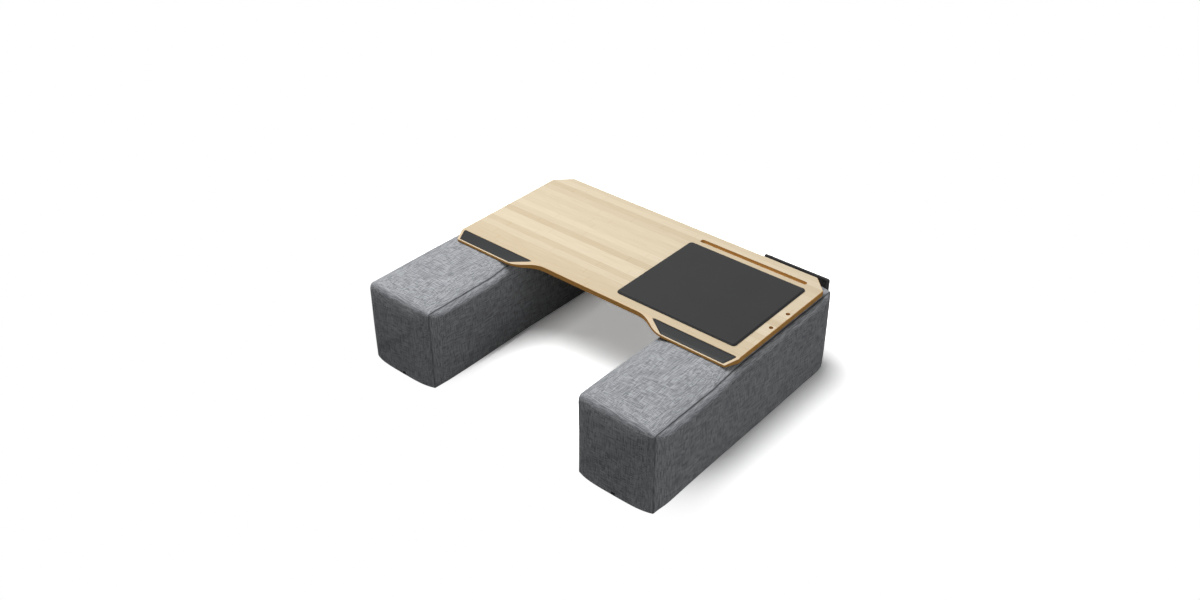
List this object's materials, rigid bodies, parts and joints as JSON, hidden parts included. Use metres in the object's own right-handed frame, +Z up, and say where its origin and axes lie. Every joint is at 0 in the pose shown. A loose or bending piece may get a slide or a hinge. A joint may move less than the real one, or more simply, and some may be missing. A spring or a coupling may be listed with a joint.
{
  "type": "couch desk",
  "caption": "Lap desk for a sofa: a wooden board with wrist rests, mouse pad and tablet slot, laid across long upholstered cushions, with a fabric pocket behind.",
  "frame": {"origin": "middle of the outline, on the surface that the cushions stand on", "axes": "+X to the user's right, along the board; +Y away from the user, along the cushions; +Z up"},
  "size_m": [0.7752, 0.6274, 0.2191],
  "materials": {
    "cover_fabric": "matte",
    "foam": "matte",
    "webbing": "matte",
    "zip_nylon": "satin",
    "zip_metal": "satin",
    "bamboo": "satin",
    "leatherette": "satin",
    "pad_rubber": "matte",
    "pad_surface": "satin",
    "grip_rubber": "matte",
    "pocket_fabric": "matte"
  },
  "bodies": {
    "right_cushion": {"right_cover_top": "cover_fabric", "right_cover_right_side": "cover_fabric", "right_cover_left_side": "cover_fabric", "right_foam_core": "foam", "right_zip_tape": "webbing", "right_zip_coil": "zip_nylon", "pocket_loop_tape": "webbing", "pocket_hook_tape": "webbing", "pocket_back_panel": "pocket_fabric", "pocket_back_binding": "webbing", "pocket_front_panel": "pocket_fabric", "pocket_base_gusset": "pocket_fabric", "pocket_left_gusset": "pocket_fabric", "pocket_right_gusset": "pocket_fabric", "pocket_mouth_binding": "webbing"},
    "left_cushion": {"left_cover_top": "cover_fabric", "left_cover_right_side": "cover_fabric", "left_cover_left_side": "cover_fabric", "left_foam_core": "foam", "left_zip_tape": "webbing", "left_zip_coil": "zip_nylon"},
    "desk_board": {"board": "bamboo", "left_wrist_rest_foam": "foam", "left_wrist_rest_cover": "leatherette", "right_wrist_rest_foam": "foam", "right_wrist_rest_cover": "leatherette", "mouse_pad_base": "pad_rubber", "mouse_pad_surface": "pad_surface", "left_outer_grip_strip": "grip_rubber", "left_inner_grip_strip": "grip_rubber", "right_outer_grip_strip": "grip_rubber", "right_inner_grip_strip": "grip_rubber"},
    "left_slider": {"left_zip_slider": "zip_metal"},
    "right_slider": {"right_zip_slider": "zip_metal"},
    "left_pull": {"left_zip_pull": "zip_metal"},
    "right_pull": {"right_zip_pull": "zip_metal"}
  },
  "joints": [
    {"name": "board_slide", "type": "slide", "parent": "right_cushion", "child": "desk_board", "axis": [0, 1, 0], "range_m": [-0.23, 0.005]},
    {"name": "left_cushion_shift", "type": "slide", "parent": "right_cushion", "child": "left_cushion", "axis": [1, 0, 0], "range_m": [-0.08, 0.1]},
    {"name": "left_zip_travel", "type": "slide", "parent": "left_cushion", "child": "left_slider", "axis": [0, 1, 0], "range_m": [0, 0.5]},
    {"name": "right_zip_travel", "type": "slide", "parent": "right_cushion", "child": "right_slider", "axis": [0, 1, 0], "range_m": [0, 0.5]},
    {"name": "left_zip_pull_swing", "type": "hinge", "parent": "left_slider", "child": "left_pull", "pos_m": [-0.29, -0.28094, 0.00315], "axis": [-1, 0, 0], "range_deg": [0, 120]},
    {"name": "right_zip_pull_swing", "type": "hinge", "parent": "right_slider", "child": "right_pull", "pos_m": [0.29, -0.28094, 0.00315], "axis": [-1, 0, 0], "range_deg": [0, 120]}
  ]
}
